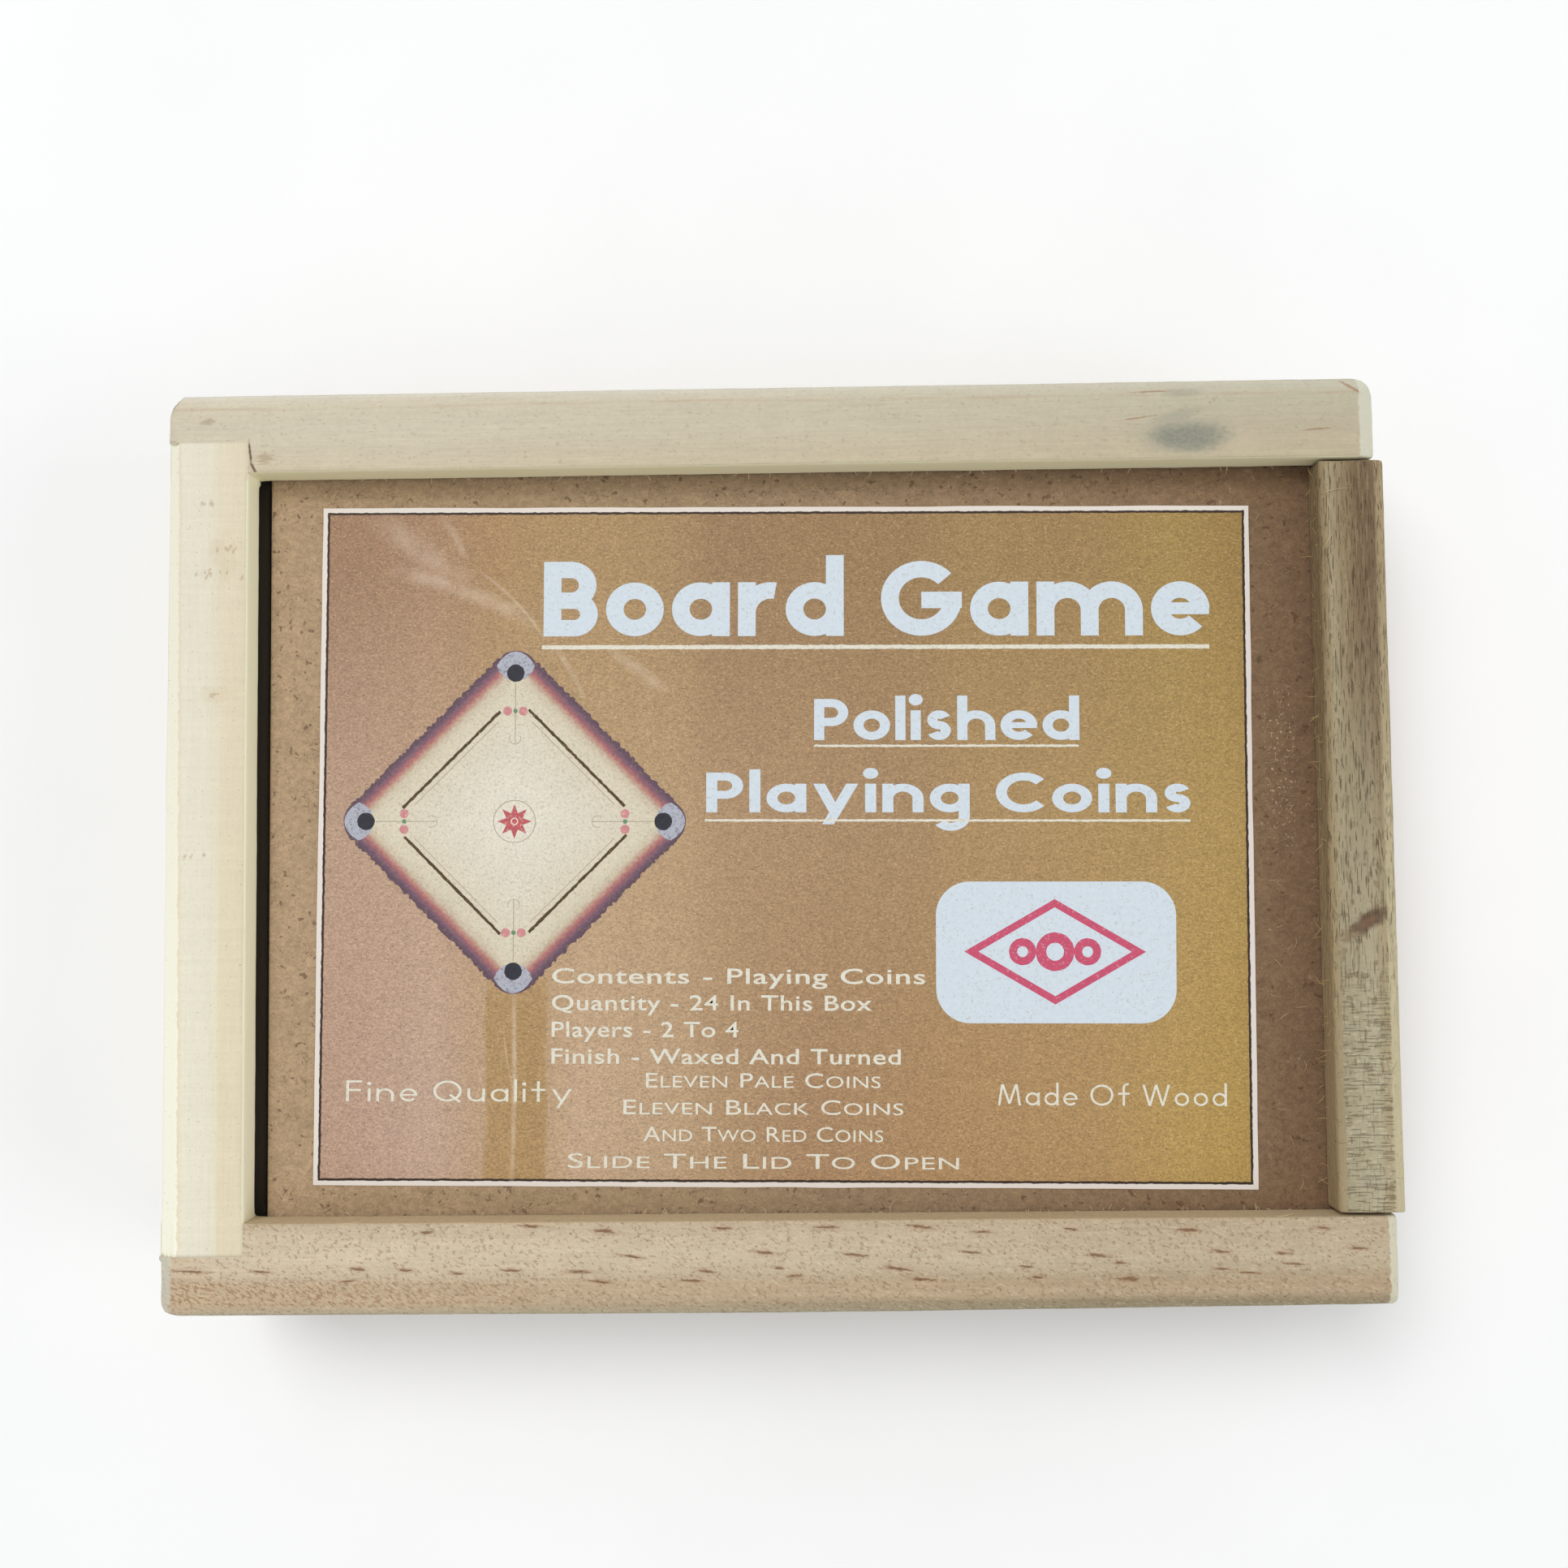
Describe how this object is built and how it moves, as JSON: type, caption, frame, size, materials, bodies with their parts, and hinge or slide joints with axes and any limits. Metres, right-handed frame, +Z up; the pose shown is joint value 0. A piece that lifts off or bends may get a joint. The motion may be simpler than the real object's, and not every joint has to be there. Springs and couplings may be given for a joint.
{
  "type": "carrom coin box",
  "caption": "Small flat wooden box with a hardboard lid that slides out of grooves in its rails, holding two layers of turned carrom coins.",
  "frame": {"origin": "centre of the box's underside, between the outsides of its rails; the lid stands 1.2 mm proud of it at +X", "axes": "+X along the box towards the end that the lid slides out of, +Y towards the back rail, +Z up"},
  "size_m": [0.1574, 0.1184, 0.029],
  "materials": {
    "wood_rail_back": "dry sawn, worn edges",
    "wood_rail_front": "dry sawn, open grain, worn edges",
    "wood_end_rail": "dry sawn, worn edges",
    "wood_low_wall": "dry sawn",
    "hardboard_base": "matt pressed fibre",
    "pin_steel": "dull wire",
    "hardboard_lid": "matt pressed fibre",
    "wood_batten": "dry sawn, weathered",
    "label_paper": "glossy printed paper",
    "coin_black": "satin lacquer",
    "coin_natural": "satin lacquer",
    "coin_red": "satin lacquer"
  },
  "bodies": {
    "root": {"side_rail_back": "wood_rail_back", "side_rail_front": "wood_rail_front", "end_rail_left": "wood_end_rail", "end_rail_right": "wood_low_wall", "base_panel": "hardboard_base", "corner_pins": "pin_steel", "base_pins": "pin_steel"},
    "lid": {"lid_panel": "hardboard_lid", "lid_batten": "wood_batten", "lid_label": "label_paper"},
    "coins": {"coin_1_01": "coin_natural", "coin_1_02": "coin_black", "coin_1_03": "coin_natural", "coin_1_04": "coin_black", "coin_1_05": "coin_black", "coin_1_06": "coin_red", "coin_1_07": "coin_natural", "coin_1_08": "coin_black", "coin_1_09": "coin_natural", "coin_1_10": "coin_black", "coin_1_11": "coin_natural", "coin_1_12": "coin_black", "coin_2_01": "coin_black", "coin_2_02": "coin_natural", "coin_2_03": "coin_black", "coin_2_04": "coin_natural", "coin_2_05": "coin_natural", "coin_2_06": "coin_black", "coin_2_07": "coin_red", "coin_2_08": "coin_natural", "coin_2_09": "coin_black", "coin_2_10": "coin_natural", "coin_2_11": "coin_black", "coin_2_12": "coin_natural"}
  },
  "joints": [
    {"name": "lid_slide", "type": "slide", "parent": "root", "child": "lid", "axis": [1, 0, 0], "range_m": [-0.0032, 0.15]},
    {"name": "coins_slide", "type": "slide", "parent": "root", "child": "coins", "axis": [1, 0, 0], "range_m": [-0.0005, 0.0087]}
  ]
}
